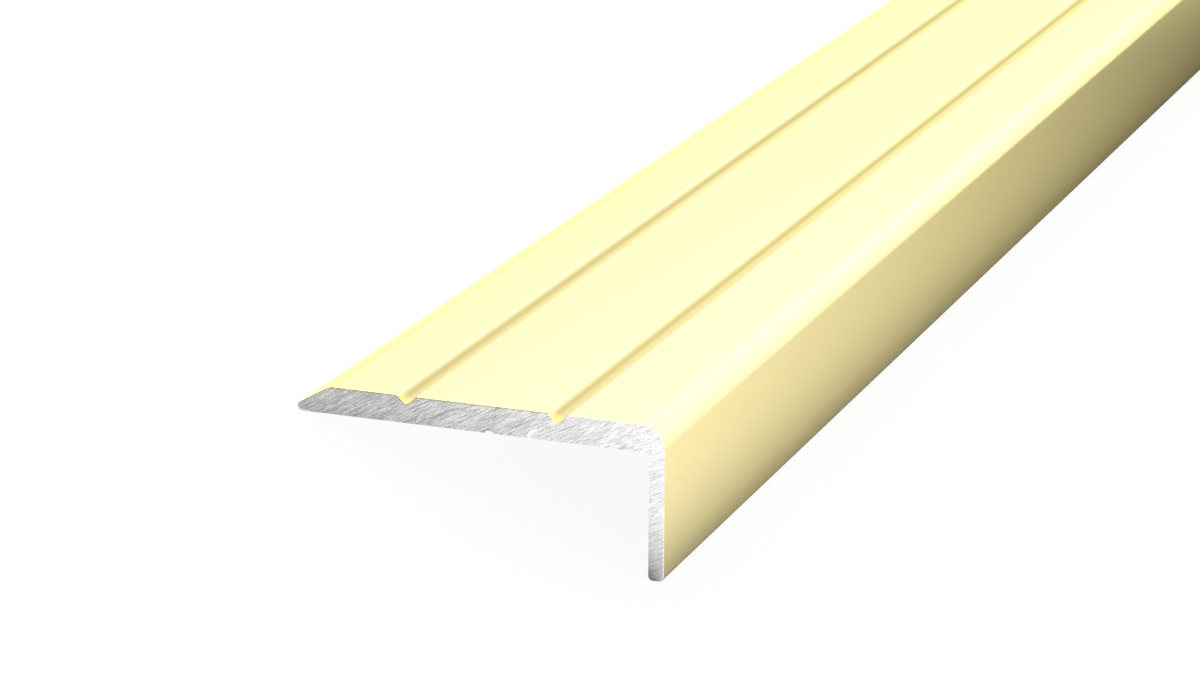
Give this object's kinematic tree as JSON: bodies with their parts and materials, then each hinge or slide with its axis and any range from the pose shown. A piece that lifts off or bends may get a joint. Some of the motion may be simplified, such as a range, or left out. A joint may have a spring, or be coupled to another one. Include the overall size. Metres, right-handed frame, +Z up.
{
  "type": "step-edge angle profile",
  "caption": "Straight angle bar for a step or floor edge: wide grooved tread leg with a bevelled back edge, rounded nose and short thin front leg.",
  "frame": {"origin": "on the floor, midway along the bar and midway across the width it rests in", "axes": "+Y along the bar, away from the sawn end that the picture shows; +Z up; +X towards the rounded nose. The bar is stored as it lies unheld, on the tip of its tread leg and the foot of its front leg, so its tread surface slopes down towards -X by 19.3 degrees"},
  "size_m": [0.0258, 1, 0.0093],
  "materials": {
    "anodised": "satin anodised in pale gold, with both sawn ends bare"
  },
  "bodies": {
    "root": {"angle_profile": "anodised"}
  },
  "joints": []
}
